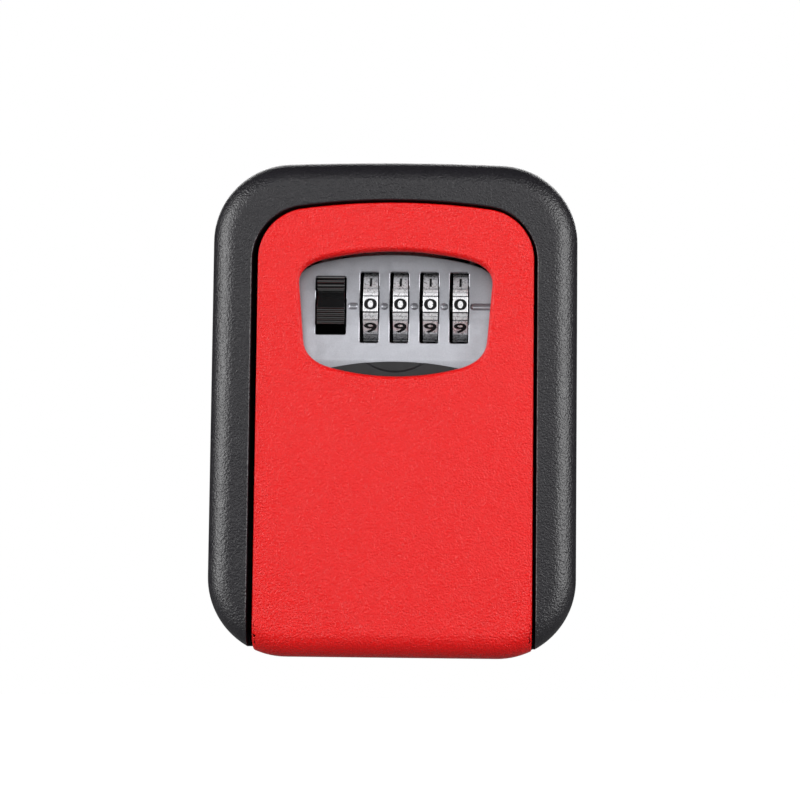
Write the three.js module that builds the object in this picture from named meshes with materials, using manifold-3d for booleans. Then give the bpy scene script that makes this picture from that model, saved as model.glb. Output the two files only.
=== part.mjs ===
// Wall-mounted key lock box: a black cast case, a drop-down red door, and a four-dial
// combination lock behind a sliding weather shutter.
// Millimetres. Origin at the centre of the rear mounting face, +X to the right as seen from
// the front, the front faces -Y, +Z up. The door hangs on a horizontal pin at the bottom.
import * as THREE from "three";
import { mergeVertices } from "three/addons/utils/BufferGeometryUtils.js";
import Module from "manifold-3d";

const wasm = await Module();
wasm.setup();

// ---- Driving dimensions ----
const GAP = 0.3; // clearance between neighbouring pieces
const FINE = 6; // curve divisions on visible outlines
const ARCH = 165; // radius of the arched top of the door and of its opening

const CASE = { half: 44.2, top: 60, bottom: -60, depth: 40, corner: 19, crown: 660, edge: 6.1 };
const OPENING = { half: 34.4, top: 50, corner: 13.4 };
const BACK_WALL = 3;
const OUTER_WALL = 3;
const INNER_WALL = 2.5;
const CHANNEL_DEPTH = 33; // hollow of the rim, open to the rear

const HINGE = { y: -22, z: -55.5, pinRadius: 1.5, boreRadius: 1.8, knuckle: 4.5, lugRadius: 3.6 };
const LUG = { near: 25, far: 30, side: 0.7, top: -52.5, rear: -8 };
const SILL_FRONT = HINGE.y + 5.2; // front edge of the case's bottom wall
const MOUNT_HOLE = { radius: 2.5, x: 22, top: 38, bottom: -30 };
const SILL_TOP = -35; // above the sill's highest point

const DOOR_X = 0.3; // the door stands this far right in the sideways play of its hinge
const DOOR = { half: 33.3, top: 49.4, corner: 12.3, front: -39.6, wall: 2.2, skirt: 1.8, rear: -30 };
const EDGE_WALL = 2; // wall of the cover where its front edge is rounded
const WINDOW = { flare: 1.4, flareDepth: 2 };
const HEEL = { half: 33, top: -56 }; // flange of the door frame under the hinge knuckle
const KNUCKLE = { left: -32.6, right: 33.2, pinHalf: 32.8, boreHalf: 35 };

const SHUTTER = {
  half: 26.2, bottom: -23, shoulder: 6.4, top: 11.1, front: -37.1, rear: -35.7, travel: 27,
};
const THUMB_SCOOP = { radius: 9.6, z: 17.6, depth: 0.6 };
const FRAME = { rib: -37.1, front: -35.4, rear: -33.2, inset: 2.1, channelHalf: 26.6 };
const CHANNEL_TOP = SHUTTER.top + SHUTTER.travel + 5; // upper end of the shutter's channel
const HOUSING = {
  half: 29.4, bottom: 4.5, top: 47, roof: 42.8, rear: -14.8, wall: 2.8, corner: 5, innerCorner: 2.5,
};

const FACE = { half: 26, bottom: 7, top: 41, front: -35.2, rear: -32.2, corner: 4 };
const DISH = { radius: 70, y: -33.8 };
const DIAL = { y: -25.8, z: 25.25, radius: 9.6, width: 3.6, pitch: 7.26, first: -6.15, digits: 10 };
const DIAL_SIDE = 0.3; // wheels stand this far right of their slots
const SLOT = { width: 4.6, height: 17.4, drop: 0.65 };
const INDEX_GROOVE = { radius: 0.75, z: 24.9 };
const SLEEVE = { hub: 3.4, disc: 6.2, discStart: 2, discWidth: 1.5, gateHalf: 1.5, gateFloor: 4 };
const EARS = [[-10.6, -9.4], [19.9, 21.1]]; // the lock face's ears that carry the dial shaft
const EAR = { rear: -22.2, bottom: 21.4, top: 29.2 };
const SHAFT = { radius: 1.5, left: -12.1, right: 22.6, groove: 1.05, clip: 0.6, clipInset: 0.9 };
const DETENT = { thick: 0.4, left: -8.6, right: 18.6, bottom: 9, top: 13.6, fingerHalf: 1.2 };

const LEVER = { x: -15.5, width: 6.65, bottom: 20.4, top: 31.8, front: -35.4, rear: -32.1 };
const LEVER_SCOOP = { radius: 3.4, z: 27, lift: 2.4 };
const LEVER_RIBS = { radius: 0.4, heights: [29.9, 24, 22.9, 21.8] };
const LEVER_SLOT = { x: -15.5, width: 7.4, bottom: 17.9, top: 32.1 };
const LATCH_TRAVEL = 2.2;
const ARM = { left: -18, right: -13, rear: -29, bottom: 21 }; // joins the lever to the latch
const LATCH = { half: 23.4, bottom: 37.5, top: 39.4, front: -30.5, rear: -18.2 };
const FENCE = { half: 1, side: 0.15 };
const BOLT = { half: 7.5, front: -27, rear: -23, top: 51.9, ramp: 1.4, pocketTop: 54 };
const SPRING = { x: 21.6, y: -20, radius: 1.35, wire: 0.3, bottom: 30, top: 37.2, turns: 5 };
const LEDGE = 1.9; // height from a spring's foot down to the underside of its ledge
const STRIKE = { half: 13, front: -31, rear: -19, bottom: 50.4, top: 51.6, mouth: 0.7 };
const STRIKE_PAD = { half: 17, front: -34, rear: -16 };
const STRIKE_SCREW = {
  x: 10.7, y: -25, hole: 1.2, sink: 2.2, sinkDepth: 0.85, head: 1.9, shank: 0.9, tip: 56,
};
const COVER = { half: 28, bottom: 6, top: 45.5, front: -14.5, rear: -13, corner: 4 };
const RESET = { z: 12.5, travel: 4, flange: 3.6, neck: 1.8, knob: 3, grip: 1.6 };

// Screws through the door frame into the front cover's bosses, and through the lock cover into
// the door frame's posts: X and Z of each, measured from the door's centre line.
const COVER_SCREWS = [[-28.9, 2], [28.9, 2], [-28.9, -44], [28.9, -44]];
const COVER_SCREW = { head: 1.9, shank: 0.9, top: -31.7, tip: -38.5, bore: 1.2, boss: 1.7, bossRear: -35.2 };
const BACK_SCREWS = [[-24.6, 10], [24.6, 10], [-24.6, 42.2], [24.6, 42.2]];
const BACK_SCREW = { head: 2.3, shank: 1.1, top: -11.2, tip: -22, hole: 1.5, bore: 1.4, post: 2.4 };

// ---- Materials ----
function material(color, roughness, metalness) {
  return new THREE.MeshStandardMaterial({ color, roughness, metalness });
}
const BLACK_COAT = material(0x2b2a2e, 0.6, 0.2);
const RED_PLASTIC = material(0xee2c2c, 0.55, 0);
const BLACK_PLASTIC = material(0x1b1a1c, 0.45, 0);
const GLOSS_BLACK = material(0x0c0c0d, 0.2, 0);
const GREY_PLASTIC = material(0xa9a9b2, 0.45, 0.1);
const CHROME = material(0xd8d8dc, 0.15, 1);
const STEEL = material(0x9a9a9f, 0.35, 1);

// ---- Solid helpers ----
function solid(geometry) {
  geometry.deleteAttribute("normal");
  geometry.deleteAttribute("uv");
  const merged = mergeVertices(geometry, 1e-4);
  const index = merged.index.array;
  const triangles = [];
  for (let i = 0; i < index.length; i += 3) {
    const [a, b, c] = [index[i], index[i + 1], index[i + 2]];
    if (a !== b && b !== c && a !== c) triangles.push(a, b, c);
  }
  return new wasm.Manifold(new wasm.Mesh({
    numProp: 3,
    vertProperties: new Float32Array(merged.attributes.position.array),
    triVerts: new Uint32Array(triangles),
  }));
}

function join(parts) {
  return parts.reduce((whole, part) => whole.add(part));
}

function cut(body, tools) {
  return tools.reduce((rest, tool) => rest.subtract(tool), body);
}

function block(x0, x1, y0, y1, z0, z1) {
  const geometry = new THREE.BoxGeometry(x1 - x0, y1 - y0, z1 - z0);
  geometry.translate((x0 + x1) / 2, (y0 + y1) / 2, (z0 + z1) / 2);
  return solid(geometry);
}

function rodX(radius, x0, x1, y, z, sides = 32) {
  const geometry = new THREE.CylinderGeometry(radius, radius, x1 - x0, sides);
  geometry.rotateZ(Math.PI / 2);
  geometry.translate((x0 + x1) / 2, y, z);
  return solid(geometry);
}

function rodY(radius, x, z, y0, y1, sides = 20) {
  const geometry = new THREE.CylinderGeometry(radius, radius, y1 - y0, sides);
  geometry.translate(x, (y0 + y1) / 2, z);
  return solid(geometry);
}

function rodZ(radius, x, y, z0, z1, sides = 16) {
  const geometry = new THREE.CylinderGeometry(radius, radius, z1 - z0, sides);
  geometry.rotateX(Math.PI / 2);
  geometry.translate(x, y, (z0 + z1) / 2);
  return solid(geometry);
}

// The outline's points, without the doubled ones where two arcs meet.
function cleanShape(outline, divisions) {
  const points = outline.getPoints(divisions);
  const kept = points.filter((point, i) => {
    const next = points[(i + 1) % points.length];
    return point.distanceTo(next) > 1e-3;
  });
  return new THREE.Shape(kept);
}

// An outline in X and Z swept from depth yBack forward to yFront.
function slab(outline, yBack, yFront, divisions = FINE) {
  const options = { depth: yBack - yFront, bevelEnabled: false };
  const geometry = new THREE.ExtrudeGeometry(cleanShape(outline, divisions), options);
  geometry.rotateX(Math.PI / 2);
  geometry.translate(0, yBack, 0);
  return solid(geometry);
}

// The same, with its front edge rounded all round.
function softSlab(outline, yBack, yFront, radius) {
  const geometry = new THREE.ExtrudeGeometry(cleanShape(outline, FINE), {
    depth: yBack - yFront,
    bevelEnabled: true,
    bevelSize: radius,
    bevelThickness: radius,
    bevelOffset: -radius,
    bevelSegments: 4,
  });
  geometry.rotateX(Math.PI / 2);
  geometry.translate(0, yBack + radius, 0);
  const reach = 200;
  return solid(geometry).subtract(block(-reach, reach, yBack, yBack + reach, -reach, reach));
}

// A profile in Y and Z swept along X from x0 to x1.
function profileX(points, x0, x1) {
  const shape = new THREE.Shape(points.map(([y, z]) => new THREE.Vector2(y, z)));
  const geometry = new THREE.ExtrudeGeometry(shape, { depth: x1 - x0, bevelEnabled: false });
  geometry.rotateX(Math.PI / 2);
  geometry.rotateZ(Math.PI / 2);
  geometry.translate(x0, 0, 0);
  return solid(geometry);
}

// ---- Outlines in X and Z ----
// Straight sides, a top arched on a large radius, rounded top corners tangent to both, and
// either rounded bottom corners or a square bottom.
function archedOutline({ centre = 0, half, top, bottom, corner, crown, bottomCorner = 0 }) {
  const cornerX = half - corner;
  const crownZ = top - crown;
  const cornerZ = crownZ + Math.sqrt((crown - corner) ** 2 - cornerX ** 2);
  const tilt = Math.atan2(cornerX, cornerZ - crownZ);
  const upright = Math.PI / 2;
  const outline = new THREE.Path();
  outline.absarc(centre + cornerX, cornerZ, corner, 0, upright - tilt, false);
  outline.absarc(centre, crownZ, crown, upright - tilt, upright + tilt, false);
  outline.absarc(centre - cornerX, cornerZ, corner, upright + tilt, Math.PI, false);
  if (bottomCorner > 0) {
    const x = half - bottomCorner;
    const z = bottom + bottomCorner;
    outline.absarc(centre - x, z, bottomCorner, Math.PI, 1.5 * Math.PI, false);
    outline.absarc(centre + x, z, bottomCorner, 1.5 * Math.PI, 2 * Math.PI, false);
  } else {
    outline.lineTo(centre - half, bottom);
    outline.lineTo(centre + half, bottom);
  }
  return outline;
}

function caseOutline(grow) {
  return archedOutline({
    half: CASE.half + grow,
    top: CASE.top + grow,
    bottom: CASE.bottom - grow,
    corner: CASE.corner + grow,
    crown: CASE.crown + grow,
    bottomCorner: CASE.corner + grow,
  });
}

function openingOutline(grow) {
  return archedOutline({
    half: OPENING.half + grow,
    top: OPENING.top + grow,
    bottom: 2 * CASE.bottom,
    corner: OPENING.corner + grow,
    crown: ARCH + grow,
  });
}

function doorOutline(grow) {
  return archedOutline({
    centre: DOOR_X,
    half: DOOR.half + grow,
    top: DOOR.top + grow,
    bottom: 2 * CASE.bottom,
    corner: DOOR.corner + grow,
    crown: ARCH + grow,
  });
}

function roundedBox(half, bottom, top, corner, centre = DOOR_X) {
  const outline = new THREE.Path();
  const x = half - corner;
  const quarter = Math.PI / 2;
  outline.absarc(centre + x, top - corner, corner, 0, quarter, false);
  outline.absarc(centre - x, top - corner, corner, quarter, 2 * quarter, false);
  outline.absarc(centre - x, bottom + corner, corner, 2 * quarter, 3 * quarter, false);
  outline.absarc(centre + x, bottom + corner, corner, 3 * quarter, 4 * quarter, false);
  return outline;
}

// The window: an arched top, sides that lean in towards the bottom, a bowed bottom edge.
function windowOutline() {
  const outline = new THREE.Path();
  outline.moveTo(DOOR_X - 17, 35.7);
  outline.quadraticCurveTo(DOOR_X - 23.67, 34.17, DOOR_X - 23.3, 29.5);
  outline.lineTo(DOOR_X - 22.14, 16);
  outline.quadraticCurveTo(DOOR_X - 21.74, 10.9, DOOR_X - 15, 9.2);
  outline.quadraticCurveTo(DOOR_X, 5.4, DOOR_X + 15, 9.2);
  outline.quadraticCurveTo(DOOR_X + 21.74, 10.9, DOOR_X + 22.14, 16);
  outline.lineTo(DOOR_X + 23.3, 29.5);
  outline.quadraticCurveTo(DOOR_X + 23.67, 34.17, DOOR_X + 17, 35.7);
  outline.quadraticCurveTo(DOOR_X, 39.6, DOOR_X - 17, 35.7);
  return outline;
}

// The window's cutter, flaring out towards the door's front surface.
function windowCutter() {
  const outline = cleanShape(windowOutline(), FINE);
  const flare = new THREE.ExtrudeGeometry(outline, {
    depth: 3,
    bevelEnabled: true,
    bevelSize: WINDOW.flare,
    bevelThickness: WINDOW.flareDepth,
    bevelSegments: 1,
  });
  flare.rotateX(Math.PI / 2);
  flare.translate(0, DOOR.front, 0);
  return solid(flare).add(slab(windowOutline(), -30, DOOR.front - 1));
}

// ---- Case ----
function caseBody() {
  const shell = softSlab(caseOutline(0), 0, -CASE.depth, CASE.edge);
  const cavity = slab(openingOutline(0), -BACK_WALL, -CASE.depth - 1);
  const channel = slab(caseOutline(-OUTER_WALL), 1, -CHANNEL_DEPTH)
    .subtract(slab(openingOutline(INNER_WALL), 2, -CHANNEL_DEPTH - 1));
  const sillRegion = block(-OPENING.half, OPENING.half, SILL_FRONT, 0, CASE.bottom - 1, SILL_TOP);
  const sill = slab(caseOutline(0), 0, SILL_FRONT)
    .subtract(slab(caseOutline(-OUTER_WALL), 1, SILL_FRONT - 1))
    .intersect(sillRegion);
  const strikePad = block(-STRIKE_PAD.half, STRIKE_PAD.half, STRIKE_PAD.front, STRIKE_PAD.rear,
    OPENING.top + 1, CASE.top - OUTER_WALL + 1);
  const lugs = [-1, 1].map((side) => {
    const x0 = side < 0 ? -LUG.far : LUG.near;
    const x1 = x0 + LUG.far - LUG.near;
    const barrel = rodX(HINGE.lugRadius, x0, x1, HINGE.y, HINGE.z);
    const arm = block(x0, x1, HINGE.y, LUG.rear, HINGE.z - HINGE.lugRadius, LUG.top);
    return barrel.add(arm);
  });
  const mountHoles = [-1, 1].flatMap((side) => [MOUNT_HOLE.top, MOUNT_HOLE.bottom].map(
    (z) => rodY(MOUNT_HOLE.radius, side * MOUNT_HOLE.x, z, -BACK_WALL - 1, 1)));
  const strikeRecess = block(-STRIKE.half - GAP, STRIKE.half + GAP,
    STRIKE.front - GAP, STRIKE.rear + GAP, OPENING.top - 3, STRIKE.top + GAP);
  const play = STRIKE.mouth + 0.1;
  const boltPocket = block(-BOLT.half - play, BOLT.half + play,
    BOLT.front - play, BOLT.rear + play, OPENING.top, BOLT.pocketTop);
  const strikeHoles = [-1, 1].map((side) => strikeRod(side, STRIKE_SCREW.hole, OPENING.top,
    STRIKE_SCREW.tip + GAP));
  const body = join([cut(shell, [cavity, channel]), sill, strikePad, ...lugs]);
  return cut(body, [...mountHoles, strikeRecess, boltPocket, ...strikeHoles, hingeBore()]);
}

function hingeBore() {
  return rodX(HINGE.boreRadius, -KNUCKLE.boreHalf, KNUCKLE.boreHalf, HINGE.y, HINGE.z, 24);
}

function strikeRod(side, radius, z0, z1) {
  return rodZ(radius, side * STRIKE_SCREW.x, STRIKE_SCREW.y, z0, z1);
}

function strikePlate() {
  const { half, front, rear, bottom, top, mouth } = STRIKE;
  const plate = block(-half, half, front, rear, bottom, top);
  const opening = block(-BOLT.half - mouth, BOLT.half + mouth, BOLT.front - mouth, BOLT.rear + mouth,
    bottom - 1, top + 1);
  const holes = [-1, 1].flatMap((side) => [
    strikeRod(side, STRIKE_SCREW.hole, bottom - 1, top + 1),
    strikeRod(side, STRIKE_SCREW.sink, bottom - 1, bottom + STRIKE_SCREW.sinkDepth),
  ]);
  return cut(plate, [opening, ...holes]);
}

function strikeScrew(side) {
  const { x, y, head, shank, tip } = STRIKE_SCREW;
  const headTop = STRIKE.bottom + 0.6;
  const cap = strikeRod(side, head, STRIKE.bottom + 0.05, headTop);
  const slotHalf = 1.2;
  const drive = block(side * x - slotHalf, side * x + slotHalf, y - 0.25, y + 0.25,
    STRIKE.bottom - 1, STRIKE.bottom + 0.35);
  return cap.add(strikeRod(side, shank, headTop - 0.1, tip)).subtract(drive);
}

function hingePin() {
  const end = KNUCKLE.pinHalf;
  const chamfer = 0.4;
  const profile = [
    [0, -end], [HINGE.pinRadius - chamfer, -end], [HINGE.pinRadius, chamfer - end],
    [HINGE.pinRadius, end - chamfer], [HINGE.pinRadius - chamfer, end], [0, end],
  ].map(([r, x]) => new THREE.Vector2(r, x));
  const geometry = new THREE.LatheGeometry(profile, 24);
  geometry.rotateZ(-Math.PI / 2);
  geometry.translate(0, HINGE.y, HINGE.z);
  return solid(geometry);
}

// ---- Door ----
// A rod along Y at each of the given screw places.
function rodsAt(places, radius, y0, y1) {
  return places.map(([x, z]) => rodY(radius, x + DOOR_X, z, y0, y1, 16));
}

function frontCover() {
  const outer = softSlab(caseOutline(0), DOOR.rear, DOOR.front, CASE.edge)
    .intersect(slab(doorOutline(0), DOOR.rear + 1, DOOR.front - 1));
  const pocketFront = DOOR.front + DOOR.wall;
  const pocket = softSlab(caseOutline(-EDGE_WALL), DOOR.rear + 1, pocketFront, CASE.edge - EDGE_WALL)
    .intersect(slab(doorOutline(-DOOR.skirt), DOOR.rear + 2, pocketFront - 1));
  const { boss, bossRear, bore, tip } = COVER_SCREW;
  const bosses = rodsAt(COVER_SCREWS, boss, pocketFront - 1, bossRear);
  const bores = rodsAt(COVER_SCREWS, bore, tip - GAP, bossRear + 1);
  return cut(outer.subtract(pocket).add(join(bosses)), [windowCutter(), ...bores]);
}

function doorFrame() {
  const reach = 70;
  const wall = EDGE_WALL + GAP;
  const hollow = softSlab(caseOutline(-wall), HINGE.y, FRAME.rib, CASE.edge - wall)
    .intersect(slab(doorOutline(-FRAME.inset), HINGE.y + 1, FRAME.rib - 1));
  const front = hollow.intersect(block(-reach, reach, FRAME.rib - 1, FRAME.rear, -reach, reach));
  const channel = block(DOOR_X - FRAME.channelHalf, DOOR_X + FRAME.channelHalf,
    FRAME.rib - 1, FRAME.front, SHUTTER.bottom - GAP, CHANNEL_TOP);
  const faceHole = slab(roundedBox(FACE.half + GAP, FACE.bottom - GAP, FACE.top + GAP, FACE.corner + GAP),
    FRAME.rear + 1, FRAME.rib - 1, 4);
  const { half, bottom, top, roof, rear, corner, innerCorner } = HOUSING;
  const ringInside = roundedBox(half - HOUSING.wall, FACE.bottom - GAP, roof, innerCorner);
  const ring = slab(roundedBox(half, bottom, top, corner), rear, FRAME.rear - 1, 4)
    .subtract(slab(ringInside, rear + 1, FRAME.rear - 2, 4));
  const posts = rodsAt(BACK_SCREWS, BACK_SCREW.post, FACE.rear + GAP, rear);
  const housing = join([ring, ...posts])
    .intersect(slab(doorOutline(-FRAME.inset), 0, -CASE.depth));
  const floorTop = HINGE.z;
  const floorPlate = hollow.intersect(block(-reach, reach, FRAME.front, HINGE.y, -reach, floorTop));
  const heel = block(-HEEL.half, HEEL.half, DOOR.rear + GAP, HINGE.y, CASE.bottom, HEEL.top);
  const knuckle = rodX(HINGE.knuckle, KNUCKLE.left, KNUCKLE.right, HINGE.y, HINGE.z);
  const hingeBar = join([heel, knuckle]).intersect(slab(caseOutline(0), 0, -CASE.depth));
  const around = HINGE.knuckle + 1.5;
  const notches = [-1, 1].map((side) => {
    const x0 = side < 0 ? -LUG.far : LUG.near;
    const x1 = x0 + LUG.far - LUG.near;
    return block(x0 - LUG.side, x1 + LUG.side, HINGE.y - HINGE.lugRadius - 1.3, HINGE.y + around,
      HINGE.z - around, HINGE.z + around);
  });
  const screwHoles = [
    ...rodsAt(COVER_SCREWS, COVER_SCREW.boss + GAP, FRAME.rib - 1, COVER_SCREW.bossRear + GAP),
    ...rodsAt(COVER_SCREWS, COVER_SCREW.bore, FRAME.rib - 1, FRAME.rear + 1),
  ];
  const postBores = rodsAt(BACK_SCREWS, BACK_SCREW.bore, BACK_SCREW.tip - 1, rear + 1);
  const boltSlot = block(-BOLT.half - GAP, BOLT.half + GAP, BOLT.front - GAP, BOLT.rear + GAP,
    roof - 1, top + 1);
  const plate = cut(front, [channel, faceHole]);
  const body = join([plate, housing, floorPlate, hingeBar]);
  return cut(body, [...notches, ...screwHoles, ...postBores, boltSlot, hingeBore()]);
}

function weatherShutter() {
  const { half, bottom, shoulder, top, front, rear } = SHUTTER;
  const outline = new THREE.Path();
  outline.moveTo(DOOR_X - half, bottom);
  outline.lineTo(DOOR_X + half, bottom);
  outline.lineTo(DOOR_X + half, shoulder);
  outline.quadraticCurveTo(DOOR_X, 2 * top - shoulder, DOOR_X - half, shoulder);
  const plate = slab(outline, rear, front, 12);
  const { radius, z, depth } = THUMB_SCOOP;
  return plate.subtract(rodY(radius, DOOR_X, z, front - 1, front + depth, 48));
}

// A cross-head screw along Y: the head from yShoulder to yHead, the shank from there to yTip.
function screwY(x, z, head, shank, yHead, yShoulder, yTip) {
  const driveHalf = 0.25;
  const driveReach = 0.7 * head;
  const driveFloor = yHead - 0.6;
  const slot = block(x - driveReach, x + driveReach, driveFloor, yHead + 1, z - driveHalf, z + driveHalf);
  const cross = block(x - driveHalf, x + driveHalf, driveFloor, yHead + 1, z - driveReach, z + driveReach);
  const body = rodY(head, x, z, yShoulder, yHead).add(rodY(shank, x, z, yTip, yShoulder + 0.2, 12));
  return cut(body, [slot, cross]);
}

// ---- Lock ----
function wheelX(i) {
  return DIAL.first + DIAL_SIDE + i * DIAL.pitch;
}

function lockFace() {
  const plate = slab(roundedBox(FACE.half, FACE.bottom, FACE.top, FACE.corner), FACE.rear, FACE.front, 4);
  const side = FACE.half + 1;
  const dish = rodX(DISH.radius, -side - 1, side + 1, DISH.y - DISH.radius, DIAL.z, 128);
  const [through, before] = [FACE.rear + 2, FACE.front - 2];
  const slotZ = DIAL.z - SLOT.drop;
  const slots = [0, 1, 2, 3].map((i) => {
    const x = DIAL.first + i * DIAL.pitch;
    return block(x - SLOT.width / 2, x + SLOT.width / 2, before, through,
      slotZ - SLOT.height / 2, slotZ + SLOT.height / 2);
  });
  const leverSlot = block(LEVER_SLOT.x - LEVER_SLOT.width / 2, LEVER_SLOT.x + LEVER_SLOT.width / 2,
    before, through, LEVER_SLOT.bottom, LEVER_SLOT.top);
  const groove = rodX(INDEX_GROOVE.radius, LEVER_SLOT.x, side, DISH.y - 0.25, INDEX_GROOVE.z, 12);
  const base = FACE.rear - 0.5;
  const ears = EARS.map(([x0, x1]) => block(x0, x1, base, EAR.rear, EAR.bottom, EAR.top));
  const ledges = [-1, 1].map((end) => {
    const x = end * SPRING.x;
    const half = SPRING.radius + 0.45;
    return block(x - half, x + half, base, SPRING.y + half, SPRING.bottom - LEDGE, SPRING.bottom - GAP);
  });
  const bore = rodX(SHAFT.radius + GAP, SHAFT.left, SHAFT.right, DIAL.y, DIAL.z, 24);
  const face = cut(plate, [dish, ...slots, leverSlot, groove]);
  return join([face, ...ears, ...ledges]).subtract(bore);
}

// A wheel's rim: ten flat digit pads with a narrow rib between each two.
function dialWheel(i) {
  const step = (2 * Math.PI) / DIAL.digits;
  const rim = [
    [-10.5, DIAL.radius], [10.5, DIAL.radius], [12.5, DIAL.radius - 0.9],
    [15, DIAL.radius - 0.3], [21, DIAL.radius - 0.3], [23.5, DIAL.radius - 0.9],
  ];
  const points = [];
  for (let digit = 0; digit < DIAL.digits; digit += 1) {
    for (const [degrees, radius] of rim) {
      const angle = Math.PI + digit * step + THREE.MathUtils.degToRad(degrees);
      points.push([DIAL.y + radius * Math.cos(angle), DIAL.z + radius * Math.sin(angle)]);
    }
  }
  const x0 = wheelX(i) - DIAL.width / 2;
  const wheel = profileX(points, x0, x0 + DIAL.width);
  return wheel.subtract(rodX(SLEEVE.hub + GAP, x0 - 1, x0 + DIAL.width + 1, DIAL.y, DIAL.z, 32));
}

function dialSleeve(i) {
  const x0 = wheelX(i) - DIAL.width / 2 + 0.1;
  const discX = wheelX(i) + SLEEVE.discStart;
  const hub = rodX(SLEEVE.hub, x0, discX + SLEEVE.discWidth, DIAL.y, DIAL.z, 24);
  const disc = rodX(SLEEVE.disc, discX, discX + SLEEVE.discWidth, DIAL.y, DIAL.z, 32);
  const gate = block(discX - 0.5, discX + SLEEVE.discWidth + 0.5,
    DIAL.y - SLEEVE.gateHalf, DIAL.y + SLEEVE.gateHalf,
    DIAL.z + SLEEVE.gateFloor, DIAL.z + SLEEVE.disc + 1);
  const bore = rodX(SHAFT.radius + GAP, x0 - 1, discX + SLEEVE.discWidth + 1, DIAL.y, DIAL.z, 20);
  return cut(hub.add(disc), [gate, bore]);
}

function dialShaft() {
  const { radius, left, right, groove, clip, clipInset } = SHAFT;
  const slack = clip / 2 + 0.2;
  const marks = [left + clipInset, right - clipInset];
  const profile = [[0, left], [radius - 0.3, left], [radius, left + 0.3]];
  for (const x of marks) {
    profile.push([radius, x - slack], [groove, x - slack], [groove, x + slack], [radius, x + slack]);
  }
  profile.push([radius, right - 0.3], [radius - 0.3, right], [0, right]);
  const geometry = new THREE.LatheGeometry(profile.map(([r, x]) => new THREE.Vector2(r, x)), 24);
  geometry.rotateZ(-Math.PI / 2);
  geometry.translate(0, DIAL.y, DIAL.z);
  return solid(geometry);
}

function shaftClip(x) {
  const half = SHAFT.clip / 2;
  const ring = rodX(2.5, x - half, x + half, DIAL.y, DIAL.z, 24);
  const eye = rodX(SHAFT.groove + 0.2, x - 1, x + 1, DIAL.y, DIAL.z, 16);
  const mouth = block(x - 1, x + 1, DIAL.y - 1, DIAL.y + 1, DIAL.z - 4, DIAL.z);
  return cut(ring, [eye, mouth]);
}

// A comb of leaf springs, one finger under each wheel.
function detentSpring() {
  const { thick, left, right, bottom, top, fingerHalf } = DETENT;
  const root = FACE.rear + GAP;
  const strip = block(left, right, root, root + thick, bottom, top);
  const path = [[root, 13.2], [-26, 14.6], [-24.5, 14.3], [-24.5, 13.9], [-26, 14.2], [root, 12.8]];
  const fingers = [0, 1, 2, 3].map(
    (i) => profileX(path, wheelX(i) - fingerHalf, wheelX(i) + fingerHalf));
  return join([strip, ...fingers]);
}

// The latch: a bar over the wheels with one fence above each sleeve, the bolt on top, and the
// arm that the lever is fixed to. Drawn fully down, the fences stop just short of the discs.
function latchPlate() {
  const bar = block(-LATCH.half, LATCH.half, LATCH.front, LATCH.rear, LATCH.bottom, LATCH.top);
  const fenceBottom = DIAL.z + SLEEVE.disc + LATCH_TRAVEL + GAP;
  const fences = [0, 1, 2, 3].map((i) => {
    const x = wheelX(i) + SLEEVE.discStart + FENCE.side;
    return block(x, x + SLEEVE.discWidth - 2 * FENCE.side, DIAL.y - FENCE.half, DIAL.y + FENCE.half,
      fenceBottom, LATCH.bottom + 1);
  });
  const root = LATCH.top - 1;
  const bolt = profileX([
    [BOLT.front, root], [BOLT.rear, root], [BOLT.rear, BOLT.top - BOLT.ramp],
    [BOLT.rear - BOLT.ramp, BOLT.top], [BOLT.front, BOLT.top],
  ], -BOLT.half, BOLT.half);
  const arm = block(ARM.left, ARM.right, LEVER.rear + GAP, ARM.rear, ARM.bottom, LATCH.top);
  return join([bar, ...fences, bolt, arm]);
}

function openLever() {
  const x0 = LEVER.x - LEVER.width / 2;
  const x1 = LEVER.x + LEVER.width / 2;
  const head = block(x0, x1, LEVER.front, LEVER.rear, LEVER.bottom, LEVER.top);
  const { radius, z: scoopZ, lift } = LEVER_SCOOP;
  const scoop = rodX(radius, x0 - 1, x1 + 1, LEVER.front - lift, scoopZ, 32);
  const ribs = LEVER_RIBS.heights.map(
    (z) => rodX(LEVER_RIBS.radius, x0 - 1, x1 + 1, LEVER.front, z, 12));
  return cut(head, [scoop, ...ribs]);
}

function latchSpring(side) {
  const { x, y, radius, wire, bottom, top, turns } = SPRING;
  const low = bottom + wire;
  const high = top - wire;
  class Coil extends THREE.Curve {
    getPoint(t, target = new THREE.Vector3()) {
      const angle = 2 * Math.PI * turns * t;
      const height = low + (high - low) * t;
      return target.set(side * x + radius * Math.cos(angle), y + radius * Math.sin(angle), height);
    }
  }
  const section = new THREE.Shape();
  section.absarc(0, 0, wire, 0, 2 * Math.PI, false);
  const geometry = new THREE.ExtrudeGeometry(cleanShape(section, 3), {
    steps: turns * 9,
    extrudePath: new Coil(),
  });
  return solid(geometry);
}

function lockCover() {
  const { half, bottom, top, front, rear, corner } = COVER;
  const plate = slab(roundedBox(half, bottom, top, corner), rear, front, 4);
  const holes = rodsAt(BACK_SCREWS, BACK_SCREW.hole, front - 1, rear + 1);
  const slotHalf = RESET.neck + 0.4;
  const slot = block(-slotHalf, slotHalf + RESET.travel, front - 1, rear + 1,
    RESET.z - 1.5, RESET.z + 1.5);
  return cut(plate, [...holes, slot]);
}

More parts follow.
